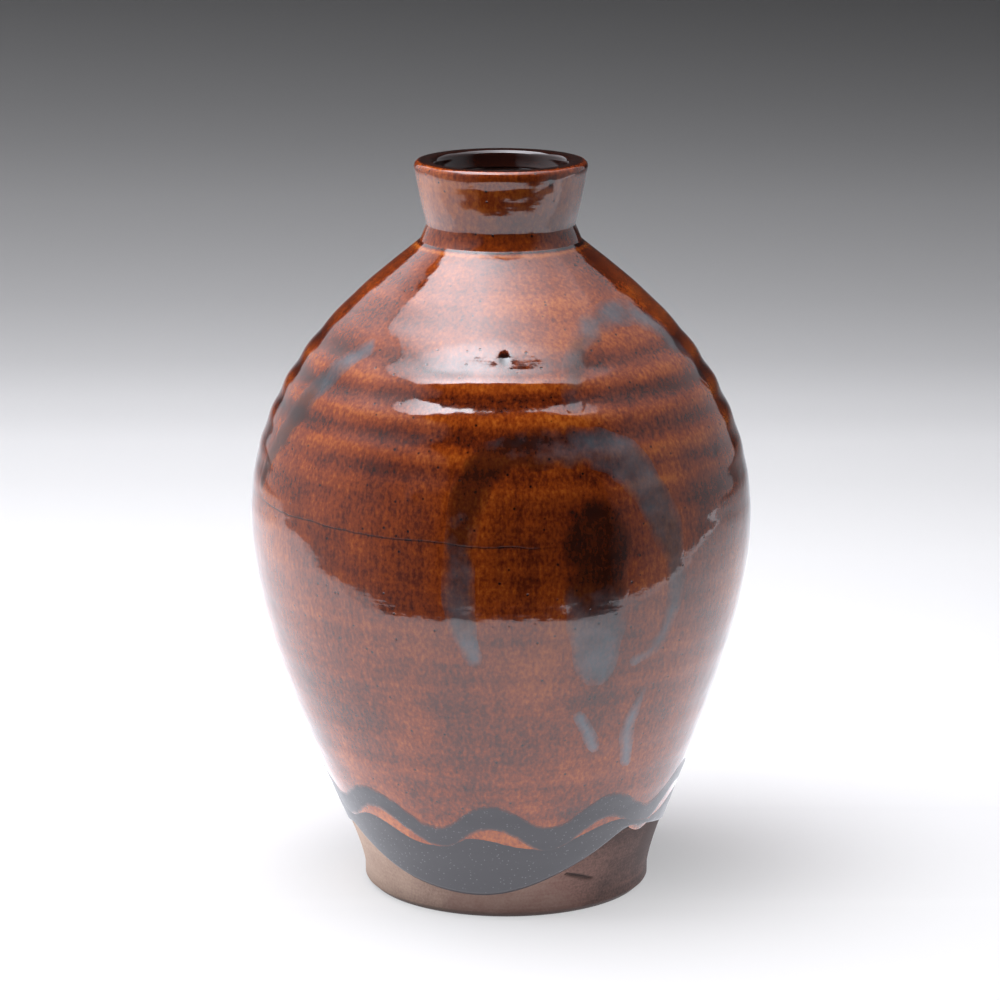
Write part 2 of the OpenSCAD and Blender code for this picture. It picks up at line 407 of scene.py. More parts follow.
collar_rows = [outside.at(step, -0.02)
               for step in np.linspace(outside.reach(seam_height), rim_start, 30)]
collar_rows += [outside.at(step, -0.02) for step in np.linspace(rim_start, outside_end, 36)]
collar_rows.append((throat_radius, seam_height))
neck_collar = rows_mesh("neck_collar_thrown", collar_rows, 160)
neck_collar.data.materials.append(bare_stoneware)
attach(neck_collar, body)
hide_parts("neck_collar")

# --- Lining ----------------------------------------------------------------------------
# Glaze poured in and out again, 0.4 mm thick, from the floor up to the lip inside the
# rim. It pools dark.

lining_thickness = 0.4
lining_columns = 240
around = np.linspace(-180, 180, lining_columns, endpoint=False)
lining_top = outside.reach(rim_top) + 5.5
lip_steps = np.linspace(lining_top, outside_end, 14)
glazed_inside = [(0, floor_height + lining_thickness), (12, floor_height + lining_thickness),
                 (23.5, floor_height + 0.5), (26.8, floor_height + 2.2)]
glazed_inside += [outside.at(step, -wall_thickness - lining_thickness + relief(around, 20) * 0.3)
                  for step in inner_steps[::-1]]
glazed_inside += [(throat_radius + 0.4, shoulder[1] - 0.8), (throat_radius - 0.4, seam_height)]
glazed_inside += [outside.at(step, lining_thickness) for step in lip_steps[::-1]]
clay_side = [outside.at(step, -0.1) for step in lip_steps]
clay_side += [(throat_radius + 0.1, seam_height), (throat_radius + 0.9, shoulder[1] - 0.8)]
clay_side += [outside.at(step, -wall_thickness + 0.1) for step in inner_steps]
clay_side += [(27.6, floor_height + 1.9), (24, floor_height - 0.1), (12, floor_height - 0.1),
              (0, floor_height - 0.1)]
liner_glaze = rows_mesh("liner_glaze_poured", glazed_inside + clay_side, lining_columns)

# Iron glaze, poured thick inside: near black where it pools, red-brown where the light
# comes through its thin edge, and as shiny as the outside
lining, tree, shader = new_material("tenmoku_lining")
pool = add(tree, "TexNoise", {"Vector": in_millimetres(tree, (1, 1, 0.4)), "Scale": 1 / 1.5,
                              "Detail": 4})
pool_colour = add(tree, "ValToRGB", {"Fac": pool.outputs[0]}, stops=[
    (0.35, "#060201"), (0.60, "#140502"), (0.75, "#240C04")])
peel = add(tree, "TexNoise", {"Vector": in_millimetres(tree), "Scale": 1 / 4, "Detail": 2})
bump = add(tree, "Bump", {"Height": total(tree, [(peel.outputs[0], 0.08)]), "Distance": MM})
tree.links.new(pool_colour.outputs[0], shader.inputs["Base Color"])
tree.links.new(bump.outputs[0], shader.inputs["Normal"])
shader.inputs["Roughness"].default_value = 0.1
shader.inputs["IOR"].default_value = GLAZE_IOR
liner_glaze.data.materials.append(lining)
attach(liner_glaze, body)
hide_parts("liner_glaze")

# --- Amber glaze -----------------------------------------------------------------------
# The outer coat of kaki iron glaze, put on in two slanting dips while the foot was held.
# It runs over the rim, hides the collar's joint and ends in a raised edge above the foot.

glaze_thickness = 0.5
front_dip = {"height": 32, "rise": math.tan(math.radians(39)), "turn": 14.6}
back_dip = {"height": 13, "rise": math.tan(math.radians(14))}
line_radius = foot_radius + 2


def glaze_line(azimuth):
    """The height of the coat's lower edge, where the two slanting dips meet."""
    turn = np.radians(azimuth + front_dip["turn"])
    front = front_dip["height"] - line_radius * front_dip["rise"] * np.cos(turn)
    back = back_dip["height"] + line_radius * back_dip["rise"] * np.cos(np.radians(azimuth))
    uneven = 0.25 * wander(21, azimuth, 0, 9, 10)
    return -np.logaddexp(-front / 0.9, -back / 0.9) * 0.9 + uneven


pits = [  # azimuth, height, radius, depth of burst bubbles in the glaze
    (1, 123.8, 0.75, 0.3), (35, 157.2, 0.6, 0.2), (-20.5, 97.3, 0.75, -0.4),
    (-46, 121, 0.5, -0.12), (62, 101, 0.5, 0.15), (150, 112, 0.8, 0.3), (-150, 90, 0.7, 0.25),
]


def pitting(azimuth, height):
    """Depth of the burst bubbles, and of the few pimples that stand up instead."""
    depth = np.zeros(np.broadcast(azimuth, height).shape)
    for at, high, radius, deep in pits:
        girth = np.interp(high, outside.points[:720, 1], outside.points[:720, 0])
        across = np.radians(azimuth - at) * girth
        depth += deep * np.exp(-((across**2 + (height - high) ** 2) / radius**2))
    return depth


def coat(azimuth, height, thickness):
    """How far the surface of a coat of glaze stands off the true profile of the clay."""
    return relief(azimuth, height) + thickness - pitting(azimuth, height)


def thinness_and_pit_shade(azimuth, height):
    """How thinly the amber coat lies: most on the ridges and low down. The burst pits are set
    lowest, which paints shade into their holes.
    """
    # Painted shade: the burst pits are made darker
    burst = np.clip(pitting(azimuth, height) * 6, 0, 1)
    low_down = 1 - smooth(20, 26, height)
    return 0.5 - 1.6 * burst + 1.6 * relief(azimuth, height) + 0.3 * low_down


amber_hidden = 1.6  # how far up under the dark band the amber coat begins
edge_steps = np.array([0, 0.3, 0.7, 1.2, 1.8, 2.6, 3.6, 5])
level_after = outside.reach(44)  # rows follow the slanting edge below, and are level above
line_along = outside.reach(glaze_line(azimuth) + amber_hidden)
amber_rows = []
thinness_and_shade = []


def add_amber_row(along):
    """One row of the amber coat, with how thinly the glaze lies on the ridges there, and painted
    shade in the seam's groove and under the collar's root.
    """
    high = outside.height(along)
    from_edge = along - line_along
    swell = smooth(0, 0.8, from_edge) * glaze_thickness - 0.05
    amber_rows.append(outside.at(along, coat(azimuth, high, swell)))
    outer = along < rim_start
    over_seam = high - seam_height
    orange = (0.7 * bell(over_seam, 0.0, 0.5) + 0.6 * bell(over_seam, -1.3, 0.5)) * outer
    # Painted shade: dark darkens the colour in the groove at the seam and in a band under the
    # collar's root
    dark = (0.6 * bell(over_seam, 1.5, 1.2) + 0.7 * bell(over_seam, -0.65, 0.35)) * outer
    neck = 0.3 * smooth(145.5, 148, high) * (1 - smooth(157, 158.5, high)) * outer
    rim_flat = 0.9 * smooth(rim_start + 0.9, rim_start + 1.6, along)
    thinness_and_shade.append(np.clip(thinness_and_pit_shade(azimuth, high) + orange + neck - dark - rim_flat, -0.5, 1))


for step in edge_steps:
    add_amber_row(line_along + step)
edge_end = line_along + edge_steps[-1]
for share in np.linspace(0, 1, 34)[1:]:
    add_amber_row(edge_end + (level_after - edge_end) * share)
amber_top = lining_top + 0.4
stations = [level_after, outside.reach(shoulder[1]) - 3, outside.reach(seam_height + 2.6),
            rim_start, amber_top]
for lower, upper, rows_between in zip(stations, stations[1:], (114, 22, 14, 17)):
    for step in np.linspace(lower, upper, rows_between)[1:]:
        add_amber_row(step + 0 * azimuth)

# The side that lies on the clay, level down to here and slanting below it
level_until = outside.reach(60)
for step in np.linspace(amber_top, level_until, 20):
    amber_rows.append(outside.at(step, relief(azimuth, outside.height(step)) - 0.1))
for share in np.linspace(1, 0, 6)[1:]:
    low = line_along + (level_until - line_along) * share
    amber_rows.append(outside.at(low, relief(azimuth, outside.height(low)) - 0.15))
thinness_and_shade += [np.full(columns, 0.5)] * (len(amber_rows) - len(thinness_and_shade))
amber_glaze = rows_mesh("amber_glaze_dipped", amber_rows, columns, {"thinness_and_shade": thinness_and_shade})

# Kaki iron glaze, dipped and fired glossy: a clear brown glass over rust, so it is mottled
# from orange to near black, streaked where it ran, and mirrors what is round it
amber, tree, shader = new_material("kaki_iron_glaze")
throwing_line = 88.4  # level of the thin dark line across the left of the belly


def amber_surface(tree):
    """Colour and height in millimetres of the amber coat, as sockets. The trails use them
    too, because the amber shows through at their edges."""
    fine = add(tree, "TexNoise", {"Vector": in_millimetres(tree, (1, 1, 0.7)),
                                  "Scale": 1 / 0.7, "Detail": 3, "Roughness": 0.6})
    streaks = add(tree, "TexNoise", {"Vector": in_millimetres(tree, (1, 1, 0.13)),
                                     "Scale": 1 / 0.9, "Detail": 3})
    broad = add(tree, "TexNoise", {"Vector": in_millimetres(tree, (1, 1, 0.8)),
                                   "Scale": 1 / 16, "Detail": 4})
    rings = add(tree, "TexNoise", {"Vector": in_millimetres(tree, (0.04, 0.04, 1)),
                                   "Scale": 1 / 2.2, "Detail": 3})
    # The attribute also carries painted shade: darker in the burst pits, in the seam's groove and
    # under the collar's root
    lies = add(tree, "Attribute", attribute_name="thinness_and_shade")
    tone = total(tree, [(fine.outputs[0], 0.27), (streaks.outputs[0], 0.14),
                        (broad.outputs[0], 0.27), (rings.outputs[0], 0.10),
                        (lies.outputs["Fac"], 0.22)])
    colour = add(tree, "ValToRGB", {"Fac": tone}, stops=[
        (0.36, "#1E0804"), (0.45, "#521C07"), (0.53, "#7B320B"), (0.64, "#A6571A")])
    cells = add(tree, "TexVoronoi", {"Vector": in_millimetres(tree), "Scale": 1 / 3.1,
                                     "Randomness": 1.0})
    speck = add(tree, "MapRange", {"Value": cells.outputs["Distance"], "From Min": 0.12,
                                   "From Max": 0.07, "To Min": 0.0, "To Max": 0.8})
    specked = add(tree, "Mix", {FACTOR: speck.outputs[0], FIRST: colour.outputs[0],
                                SECOND: linear("#120603")}, data_type="RGBA")
    peel = add(tree, "TexNoise", {"Vector": in_millimetres(tree), "Scale": 1 / 4.5, "Detail": 1})
    grain = add(tree, "TexNoise", {"Vector": in_millimetres(tree), "Scale": 1 / 1.3, "Detail": 2})
    place = add(tree, "SeparateXYZ", {0: in_millimetres(tree)})
    wobble = add(tree, "TexNoise", {"Vector": in_millimetres(tree, (1, 1, 0)),
                                    "Scale": 1 / 9, "Detail": 3})
    level = total(tree, [(place.outputs[2], 1.0), (place.outputs[0], 0.035),
                         (wobble.outputs[0], 1.6)])
    near = add(tree, "Math", {0: level, 1: throwing_line, 2: 0.2}, operation="COMPARE")
    left = add(tree, "MapRange", {"Value": place.outputs[0], "From Min": 16, "From Max": 2,
                                  "To Max": 0.6})
    line = add(tree, "Math", {0: near.outputs[0], 1: left.outputs[0]}, operation="MULTIPLY")
    lined = add(tree, "Mix", {FACTOR: line.outputs[0], FIRST: specked.outputs[MIXED],
                              SECOND: linear("#1A0703")}, data_type="RGBA")
    height = total(tree, [(peel.outputs[0], 0.07), (grain.outputs[0], 0.012),
                          (rings.outputs[0], 0.02), (speck.outputs[0], -0.02),
                          (line.outputs[0], -0.02)])
    return lined.outputs[MIXED], height


amber_colour, amber_height = amber_surface(tree)
bump = add(tree, "Bump", {"Height": amber_height, "Distance": MM})
tree.links.new(amber_colour, shader.inputs["Base Color"])
tree.links.new(bump.outputs[0], shader.inputs["Normal"])
shader.inputs["Roughness"].default_value = AMBER_ROUGHNESS
shader.inputs["IOR"].default_value = GLAZE_IOR
amber_glaze.data.materials.append(amber)
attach(amber_glaze, body)
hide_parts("amber_glaze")

# --- Foot band -------------------------------------------------------------------------
# Dark iron slip brushed round the pot along the lower edge of the amber glaze, over the
# bare clay and the glaze alike. It fired satin, full of pale specks.


def wave(azimuth):
    """-1 to 1 along the nine waves that the trailed line makes round the pot."""
    azimuth = (azimuth + 180) % 360 - 180
    crests = np.interp(azimuth, [-180, -46, -22.5, -4.5, 15.5, 35, 180],
                       [-3.28, 0, 0.5, 1, 1.5, 2, 5.72])
    return np.cos(FULL_TURN * crests)


def drift(azimuth):
    """The slow rise and fall of the band and the wave, twice round the pot."""
    return -1.4 * np.cos(np.radians(2 * azimuth))


wave_middle = 23.5
wave_swing = 3
band_level = 20.9
slip_lift = 0.05
slip_sink = -0.05


def band_top(azimuth):
    """The height of the dark band's upper edge, which all but meets the wave above it: the
    amber shows between them only by the wave's crests."""
    lag = 5 * np.cos(np.radians(2 * (azimuth + 20)))
    level = band_level + drift(azimuth) + 1.7 * wave(azimuth + lag)
    return np.maximum(level + 0.2 * wander(31, azimuth, 0, 12, 10), glaze_line(azimuth) + 2.2)


def sheet_rows(low, high, shares, lift):
    """Rows from one height line to another, each with its distance in millimetres from the
    nearer line. lift is the slip's surface over the amber coat for each share."""
    start, end = outside.reach(low), outside.reach(high)
    rows, edge, thinness_and_shade_rows = [], [], []
    for share, over in zip(shares, lift):
        along = start + (end - start) * share
        rise = coat(azimuth, outside.height(along), glaze_thickness - 0.05)
        rows.append(outside.at(along, rise + over))
        edge.append(np.minimum(share, 1 - share) * (end - start))
        thinness_and_shade_rows.append(thinness_and_pit_shade(azimuth, outside.height(along)))
    return rows, edge, thinness_and_shade_rows


EDGE_SHARES = np.array([0, 0.02, 0.05, 0.09, 0.14, 0.2, 0.3, 0.4, 0.5])
slip_shares = np.concatenate([EDGE_SHARES, 1 - EDGE_SHARES[-2::-1]])
slip_lift_at = slip_sink + (slip_lift - slip_sink) * smooth(0, 0.2, np.minimum(
    slip_shares, 1 - slip_shares))
band_lift = np.where(slip_shares < 0.4, slip_lift, slip_lift_at)
band_rows, band_edge, band_thinness_and_shade = sheet_rows(glaze_line(azimuth), band_top(azimuth), slip_shares,
                                             band_lift)
for i, share in enumerate(slip_shares[:6]):
    along = outside.reach(glaze_line(azimuth) + share * 6)
    bead = smooth(-0.02, 0.16, share) * (glaze_thickness + slip_lift) - 0.08
    band_rows[i] = outside.at(along, relief(azimuth, outside.height(along)) + bead)
for share in (0.96, 0.6, 0.3, 0.06):
    band_depth = band_top(azimuth) - glaze_line(azimuth)
    along = outside.reach(glaze_line(azimuth) + share * band_depth)
    deep = 0.15 if share > 0.5 else -0.12
    band_rows.append(outside.at(along, relief(azimuth, outside.height(along)) + deep))
    band_edge.append(0 * azimuth)
    band_thinness_and_shade.append(0 * azimuth)
for i in np.flatnonzero(slip_shares < 0.4):
    band_edge[i] = np.maximum(band_edge[i], 3)
foot_band = rows_mesh("foot_band_brushed", band_rows, columns,
                      {"cover": band_edge, "thinness_and_shade": band_thinness_and_shade})

# Iron slip: satin and blue-black with pale grains where it was brushed on or lies thick,
# glossy where thin lines of it sank into the amber glaze, as the attribute cover says


def slip_material(name, dark, cool, roughness, soft, speck_share, hiding):
    """Slip on the amber glaze, from its dark colour to the cool one where it ran. soft is
    how wide its edge melts away in millimetres, and hiding how much amber it covers."""
    made, tree, shader = new_material(name)
    under, amber_level = amber_surface(tree)
    cover = add(tree, "Attribute", attribute_name="cover")
    fray = add(tree, "TexNoise", {"Vector": in_millimetres(tree, (1, 1, 0.5)),
                                  "Scale": 1 / (1 + soft), "Detail": 3})
    ragged = total(tree, [(cover.outputs["Fac"], 1.0), (fray.outputs[0], soft * 1.5)])
    mask = add(tree, "MapRange", {"Value": ragged, "From Min": soft * 0.72,
                                  "From Max": soft * 1.8, "To Max": hiding},
               interpolation_type="SMOOTHSTEP")
    cloud = add(tree, "TexNoise", {"Vector": in_millimetres(tree), "Scale": 1 / 5, "Detail": 5})
    run = add(tree, "Attribute", attribute_name="run")
    blueness = total(tree, [(cloud.outputs[0], 0.6), (run.outputs["Fac"], 0.6)])
    slip = add(tree, "ValToRGB", {"Fac": blueness}, stops=[(0.40, dark), (1.0, cool)])
    cells = add(tree, "TexVoronoi", {"Vector": in_millimetres(tree), "Scale": 1 / 0.8})
    chosen = add(tree, "SeparateXYZ", {0: cells.outputs["Color"]})
    grain = add(tree, "MapRange", {"Value": cells.outputs["Distance"], "From Min": 0.24,
                                   "From Max": 0.12, "To Max": 0.3})
    some = add(tree, "Math", {0: chosen.outputs[0], 1: 1 - speck_share}, operation="GREATER_THAN")
    speck = add(tree, "Math", {0: grain.outputs[0], 1: some.outputs[0]}, operation="MULTIPLY")
    grainy = add(tree, "Mix", {FACTOR: speck.outputs[0], FIRST: slip.outputs[0],
                               SECOND: linear("#8C8A8C")}, data_type="RGBA")
    colour = add(tree, "Mix", {FACTOR: mask.outputs[0], FIRST: under,
                               SECOND: grainy.outputs[MIXED]}, data_type="RGBA")
    dull = add(tree, "MapRange", {"Value": mask.outputs[0], "To Min": AMBER_ROUGHNESS,
                                  "To Max": roughness})
    surface = total(tree, [(amber_level, 1.0), (speck.outputs[0], 0.03)])
    bump = add(tree, "Bump", {"Height": surface, "Distance": MM})
    tree.links.new(colour.outputs[MIXED], shader.inputs["Base Color"])
    tree.links.new(dull.outputs[0], shader.inputs["Roughness"])
    tree.links.new(bump.outputs[0], shader.inputs["Normal"])
    shader.inputs["IOR"].default_value = GLAZE_IOR
    return made


brushed_slip = slip_material("brushed_iron_slip", "#211D22", "#4A4850", 0.38, 0.8, 0.7, 1.0)
foot_band.data.materials.append(brushed_slip)
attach(foot_band, body)
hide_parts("foot_band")

# --- Wave trail ------------------------------------------------------------------------
# A waving line of the same slip trailed round the pot above the foot, with the amber
# showing under its crests.


def wave_edges(azimuth):
    """Heights of the trailed wave's lower and upper edges."""
    middle = wave_middle + wave_swing * wave(azimuth) + drift(azimuth)
    half = 3.65 + 0.3 * np.sin(np.radians(3 * azimuth + 30)) + 0.2 * wander(33, azimuth, 0, 20, 9)
    return middle - half, middle + half


wave_low, wave_high = wave_edges(azimuth)
wave_rows, wave_edge, wave_thinness_and_shade = sheet_rows(wave_low, wave_high, slip_shares, slip_lift_at)
for share in (0.95, 0.5, 0.05):
    along = outside.reach(wave_low + share * (wave_high - wave_low))
    wave_rows.append(outside.at(along, coat(azimuth, outside.height(along), 0.2)))
    wave_edge.append(0 * azimuth)
    wave_thinness_and_shade.append(0 * azimuth)
wave_trail = rows_mesh("wave_trail_slip", wave_rows, columns,
                       {"cover": wave_edge, "thinness_and_shade": wave_thinness_and_shade})
waved_slip = slip_material("waved_iron_slip", "#211C22", "#4A4A54", 0.34, 1.7, 0.7, 1.0)
wave_trail.data.materials.append(waved_slip)
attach(wave_trail, body)
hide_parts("wave_trail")

# --- Front trail -----------------------------------------------------------------------
# Loops of slip trailed over the front right of the shoulder and belly. They sank into the
# amber glaze in the fire, so their edges are soft and their ends run down in blue.


def curve_through(points, spacing):
    """Even points along a smooth curve through (azimuth, height) points, as azimuth and
    length up the wall."""
    points = np.array(points, float)
    points = np.vstack([2 * points[0] - points[1], points, 2 * points[-1] - points[-2]])
    line = []
    for a, b, c, d in zip(points, points[1:], points[2:], points[3:]):
        t = np.linspace(0, 1, 30, endpoint=False)[:, None]
        line.append(0.5 * (2 * b + (c - a) * t + (2 * a - 5 * b + 4 * c - d) * t**2
                           + (3 * b - a - 3 * c + d) * t**3))
    line = np.vstack(line + [points[-2:-1]])
    radius = np.interp(line[:, 1], *outside.points[:480, ::-1].T)
    flat = np.stack([np.radians(line[:, 0]) * radius, outside.reach(line[:, 1])], 1)
    gone = np.concatenate([[0], np.cumsum(np.hypot(*np.diff(flat, axis=0).T))])
    even = np.linspace(0, gone[-1], max(8, int(gone[-1] / spacing)))
    middle = np.stack([np.interp(even, gone, line[:, 0]),
                       np.interp(even, gone, outside.reach(line[:, 1]))], 1)
    return middle, np.interp(even, gone, radius), even


def trail(name, strokes):
    """Closed strips of slip lying along strokes, in one mesh. A stroke is its seed, how
    thickly it lies, its widths, how blue it fired and its points, each from tip to tip."""
    vertices, faces, covers, runs, trail_thinness_and_shade = [], [], [], [], []
    across = np.array([-1, -0.93, -0.85, -0.75, -0.6, -0.4, -0.2, 0, 0.2, 0.4, 0.6, 0.75, 0.85,
                       0.93, 1])
    for seed, thickly, widths, blues, points in strokes:
        middle, radius, gone = curve_through(points, 0.9)
        ahead = np.gradient(np.stack([np.radians(middle[:, 0]) * radius, middle[:, 1]], 1), axis=0)
        ahead /= np.hypot(*ahead.T)[:, None]
        length = gone[-1]
        share = gone / length
        half = np.interp(share, np.linspace(0, 1, len(widths)), widths) / 2
        half = half * (1 + 0.10 * wander(seed, gone * 4, gone, 9, 14))
        tip = np.minimum(gone, length - gone)
        half = np.maximum(half * np.sqrt(1 - (1 - np.clip(tip / half, 0, 1)) ** 2), 0.02)
        offset = half[:, None] * across[None, :]
        turn = middle[:, :1] - np.degrees(ahead[:, 1:] * offset / radius[:, None])
        along = middle[:, 1:] + ahead[:, :1] * offset
        inwards = half[:, None] - np.abs(offset)
        lift = 0.06 * smooth(0, 1.8, np.minimum(inwards, tip[:, None])) - 0.03
        high = outside.height(along)
        top = outside.at(along, coat(turn, high, glaze_thickness - 0.05) + lift)
        sunk = outside.at(along, coat(turn, high, 0.2))
        first = sum(len(v) for v in vertices)
        rows, wide = offset.shape
        bearing = np.radians(turn)
        for out, up in (top, sunk):
            sheet = np.stack([out * np.sin(bearing), -out * np.cos(bearing), up], 2)
            vertices.append(sheet.reshape(-1, 3))
        covers += [thickly * np.minimum(inwards, tip[:, None]).ravel(), np.zeros(rows * wide)]
        blue = np.interp(share, np.linspace(0, 1, len(blues)), blues)
        runs += [(blue[:, None] + 0 * offset).ravel()] * 2
        trail_thinness_and_shade += [thinness_and_pit_shade(turn, high).ravel()] * 2
        for layer in (0, 1):
            base = first + layer * rows * wide
            for r in range(rows - 1):
                for c in range(wide - 1):
                    k = base + r * wide + c
                    faces.append((k, k + 1, k + wide + 1, k + wide))
        rim_of = list(range(wide))
        rim_of += [r * wide + wide - 1 for r in range(1, rows)]
        rim_of += [(rows - 1) * wide + c for c in range(wide - 2, -1, -1)]
        rim_of += [r * wide for r in range(rows - 2, 0, -1)]
        for k, here in enumerate(rim_of):
            there = rim_of[(k + 1) % len(rim_of)]
            faces.append((first + here, first + there, first + rows * wide + there,
                          first + rows * wide + here))
    mesh = bpy.data.meshes.new(name)
    mesh.from_pydata(settled(np.vstack(vertices)), [], faces)
    for key, values in (("cover", covers), ("run", runs), ("thinness_and_shade", trail_thinness_and_shade)):
        layer = mesh.attributes.new(key, "FLOAT", "POINT")
        layer.data.foreach_set("value", np.concatenate(values).astype(np.float32))
    return finished(name, mesh)


front_trail = trail("front_trail_slip", [
    (41, 0.7, (7, 8, 9, 8, 6), (0.2, 0.3, 0.7, 0.5, 0.3), [
        (19.5, 112.5), (21.5, 119.5), (26.5, 125), (37, 129), (55, 130), (68, 125), (76, 113)]),
    (42, 1.0, (5, 8.5, 9, 10.5, 11, 11, 11, 8, 5.5, 4.5),
     (0.9, 0.6, 0.25, 0.1, 0.1, 0.35, 0.6, 0.4, 0.4, 0.7, 0.9), [
        (-5.5, 61), (-9, 72.5), (-9, 87), (-6, 101), (1, 106), (13, 107), (25, 106), (33, 101),
        (40.5, 87), (42.5, 74), (39, 64), (31, 60)]),
    (43, 0.75, (9, 16, 17, 16, 15, 13, 8), (0.1, 0.0, 0.0, 0.5, 0.8, 0.8), [
        (21.5, 98), (22, 90), (21.5, 78), (22, 70), (22.5, 62), (23, 55.5)]),
    (44, 1.0, (3, 5, 6, 4), (0.6, 1.0, 1.5, 1.5), [
        (38, 55), (36, 49), (35, 44.5), (37.5, 34.5)]),
    (45, 1.0, (4, 4.5, 6, 3), (0.9, 1.2, 1.5, 1.5), [
        (18.5, 51), (20.5, 48.5), (23, 45), (26.5, 39.5)]),
])
trailed_slip = slip_material("trailed_iron_slip", "#0E0504", "#5E747E", 0.09, 3.0, 0.0, 0.68)
front_trail.data.materials.append(trailed_slip)
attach(front_trail, body)
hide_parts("front_trail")

# --- Side trail ------------------------------------------------------------------------
# A second figure trailed on the left and round the back, of which one stroke reaches
# forwards over the shoulder.

side_trail = trail("side_trail_slip", [
    (51, 1.0, (6, 8, 10, 8, 5), (0.7, 0.5, 0.2, 0.1, 0.1), [
        (-44, 125), (-52, 121), (-60, 114), (-66, 105), (-71.5, 96), (-73, 90)]),
    (52, 1.0, (6, 10, 6), (0.8, 0.2, 0.5, 0.8), [
        (-92, 66), (-88, 82), (-92, 98), (-108, 106), (-123, 104), (-133, 90), (-136, 75),
        (-134, 64)]),
    (53, 1.0, (8, 8, 6), (0.1, 0.2, 0.8, 1.2), [
        (-112, 97), (-113, 86), (-114, 70), (-119, 53), (-122, 40)]),
])
side_trail.data.materials.append(trailed_slip)
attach(side_trail, body)
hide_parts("side_trail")

# --- Studio ----------------------------------------------------------------------------
# A table of pale paper that is shaded to grey behind, and a bounce sheet in its place that
# only lights and mirrors. One large softbox overhead is brighter at its left, a lamp fills
# from the left, and cards stand to both sides for the glaze to mirror. The room in front of
# the table is dark, down to the paler floor it stands on.


def paper_front(azimuth):
    """How far from the pot's axis the table's paper ends in front, in metres."""
    return 0.18 + 0.45 * (abs(azimuth) / 110) ** 5


def flat(name, corners, height=0.0):
    """A staged flat panel through its corners in metres: (x, y) at a height, or (x, y, z)."""
    mesh = bpy.data.meshes.new(name)
    mesh.from_pydata([c if len(c) == 3 else (*c, height) for c in corners], [],
                     [list(range(len(corners)))])
    made = bpy.data.objects.new(name, mesh)
    bpy.context.scene.collection.objects.link(made)
    return made


def level_across(tree, axis, stops):
    """A level that changes along an axis of the object: stops are (metres, level)."""
    place = add(tree, "TexCoord")
    split = add(tree, "SeparateXYZ", {0: place.outputs["Object"]})
    first, last = stops[0][0], stops[-1][0]
    share = add(tree, "MapRange", {"Value": split.outputs[axis], "From Min": first,
                                   "From Max": last})
    ramp = add(tree, "ValToRGB", {"Fac": share.outputs[0]}, stops=[
        ((at - first) / (last - first), level) for at, level in stops])
    return ramp.outputs[0]


def shining(made, strength, *ramps):
    """Makes a panel shine by the product of its ramps, each (axis, stops)."""
    light_of, tree, shader = new_material(made.name)
    tree.nodes.remove(shader)
    level = strength
    for axis, stops in ramps:
        level = add(tree, "Math", {0: level_across(tree, axis, stops), 1: level},
                    operation="MULTIPLY").outputs[0]
    light = add(tree, "Emission", {"Color": linear("#F5F7FF"), "Strength": level})
    tree.links.new(light.outputs[0], tree.nodes["Material Output"].inputs["Surface"])
    made.data.materials.append(light_of)
    made.visible_camera = False
    return made


def only_reflected(card):
    """A card that shows in the glaze and nowhere else."""
    card.visible_diffuse = False
    card.visible_shadow = False
    card.visible_transmission = False
    return card


def around_front(radius_at, step, turn_to):
    """Points (x, y) round the front, at a radius for each azimuth up to turn_to."""
    angles = np.arange(-turn_to, turn_to + 1, step)
    return [(radius_at(a) * math.sin(math.radians(a)), -radius_at(a) * math.cos(math.radians(a)))
            for a in angles]


table = flat("paper_table", [(-3, -0.17), (3, -0.17), (3, 6), (-3, 6)])
table.visible_glossy = False
table.visible_diffuse = False
paper, tree, shader = new_material("shaded_paper")
shade = level_across(tree, 1, [
    (-0.2, 0.33), (-0.02, 0.33), (0.05, 0.60), (0.12, 0.62), (0.3, 0.58), (0.4, 0.63),
    (0.46, 0.70), (0.53, 0.70), (0.6, 0.655), (0.72, 0.605), (0.97, 0.567), (1.16, 0.495),
    (1.31, 0.456), (1.53, 0.417), (1.76, 0.395)])
# Painted light: the paper also glows, brightest in front of the pot and gone by 0.6 m behind it,
# for the light the room bounces onto it
glow = level_across(tree, 1, [(-0.2, 0.55), (-0.02, 0.55), (0.05, 0.18), (0.12, 0.18),
                              (0.3, 0.24), (0.4, 0.15), (0.5, 0.04), (0.6, 0.0)])
warm = add(tree, "Mix", {FACTOR: 1.0, FIRST: shade, SECOND: linear("#FFFDFA")},
           data_type="RGBA", blend_type="MULTIPLY")
tree.links.new(warm.outputs[MIXED], shader.inputs["Base Color"])
tree.links.new(glow, shader.inputs["Emission Strength"])
shader.inputs["Emission Color"].default_value = linear("#FDFDFF")
shader.inputs["Roughness"].default_value = 0.9
shader.inputs["Specular IOR Level"].default_value = 0.0
table.data.materials.append(paper)

pale_mesh = bpy.data.meshes.new("paper_bounce")
inner = around_front(lambda a: 0.036, 4, 180)
outer = around_front(lambda a: paper_front(a) if abs(a) < 117 else 6, 4, 180)
inner_count = len(inner)
pale_mesh.from_pydata(
    [(x, y, -0.0005) for x, y in inner + outer], [],
    [(i, i + 1, i + 1 + inner_count, i + inner_count) for i in range(inner_count - 1)])
pale = bpy.data.objects.new("paper_bounce", pale_mesh)
bpy.context.scene.collection.objects.link(pale)
shining(pale, 1.0, (0, [(-1, 1.0), (-0.25, 1.2), (-0.08, 1.0), (0.0, 0.94), (0.1, 0.85),
                       (0.35, 0.6), (1.0, 0.4)]),
        (1, [(-0.3, 2.45), (0.05, 2.4), (0.25, 1.9), (0.4, 1.2), (0.6, 0.62), (0.8, 0.42),
             (1.2, 0.25), (2.2, 0.1)]))
pale.visible_shadow = False

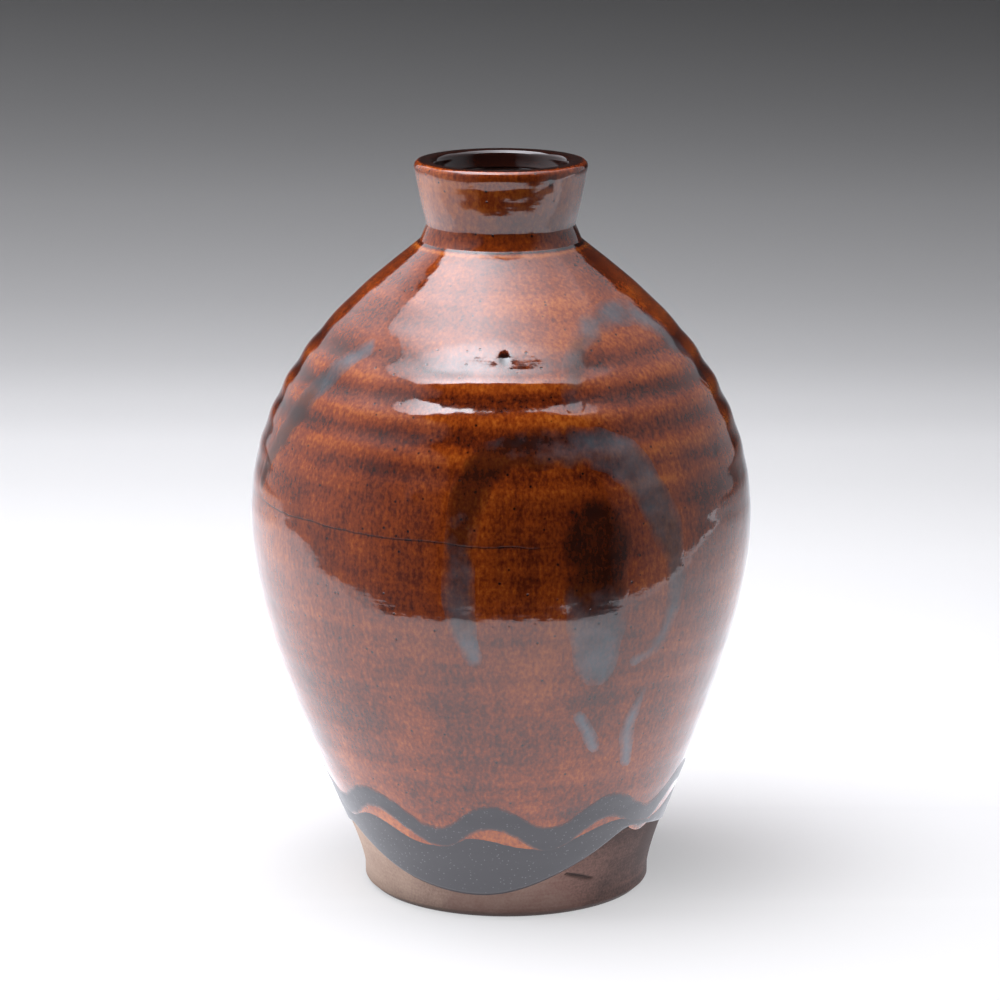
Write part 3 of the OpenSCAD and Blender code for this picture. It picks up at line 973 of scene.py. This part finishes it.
box_height = 0.66
softbox = flat("softbox", [(-0.48, -0.29), (0.42, -0.29), (0.42, 0.25), (-0.48, 0.25)], box_height)
shining(softbox, 1.0, (0, [(-0.48, 4.5), (-0.38, 7.5), (-0.25, 10.5), (-0.1, 11), (0.1, 5.2),
                           (0.25, 2.7), (0.42, 2.1)]),
        (1, [(-0.29, 1.4), (-0.2, 1.2), (-0.12, 0.85), (0.0, 0.8), (0.25, 0.85)]))
room_floor = flat("room_floor", around_front(lambda a: 0.054 + 11 * (paper_front(a) - 0.054),
                                             4, 116), -0.7)
shining(only_reflected(room_floor), 2.2)
left_card = flat("left_card", [(-1, -2.2, -1.3), (-1, -1, -0.62), (-1, -0.58, -0.44),
                               (-1, 0, -0.17), (-1, 0.3, -0.05), (-1, 1.9, 0), (-1, 1.9, 1.5),
                               (-1, -2.2, 1.5)])
shining(left_card, 3.6, (2, [(-0.6, 0.24), (0.0, 0.24), (0.55, 0.26), (1.15, 0.6), (1.5, 0.3)]),
        (1, [(-2.2, 0.0), (-0.8, 0.35), (0.0, 1.0)]))
left_lamp = flat("left_lamp", [(-0.95, -0.75, 0.2), (-0.75, 0.1, 0.2), (-0.75, 0.1, 0.8),
                               (-0.95, -0.75, 0.8)])
shining(left_lamp, 2.7, (2, [(0.2, 1.0), (0.8, 1.0)]))
left_lamp.visible_glossy = False
right_card = flat("right_card", [(1, -0.9, -0.58), (1, -0.58, -0.44), (1, 0, -0.17),
                                 (1, 0.3, -0.05), (1, 1.4, 0), (1, 1.4, 1.75), (1, -0.9, 1.75)])
shining(only_reflected(right_card), 2.2, (2, [(-0.4, 0.28), (0.6, 0.24), (1.2, 0.4), (1.75, 0.8)]),
        (1, [(-0.9, 0.0), (-0.3, 0.8), (0.2, 1.0)]))

world = bpy.data.worlds.new("dim_studio")
world.use_nodes = True
world.node_tree.nodes["Background"].inputs[0].default_value = (0.03, 0.03, 0.031, 1)
bpy.context.scene.world = world
bpy.context.scene.view_settings.view_transform = "Standard"

camera_data = bpy.data.cameras.new("camera")
camera = bpy.data.objects.new("camera", camera_data)
bpy.context.scene.collection.objects.link(camera)
camera_data.sensor_width = 36
camera_data.lens = 153.46
camera.location = (-0.0002, -0.90434, 0.29208)
camera.rotation_euler = (math.radians(90 - 12.88), 0, 0)
bpy.context.scene.camera = camera
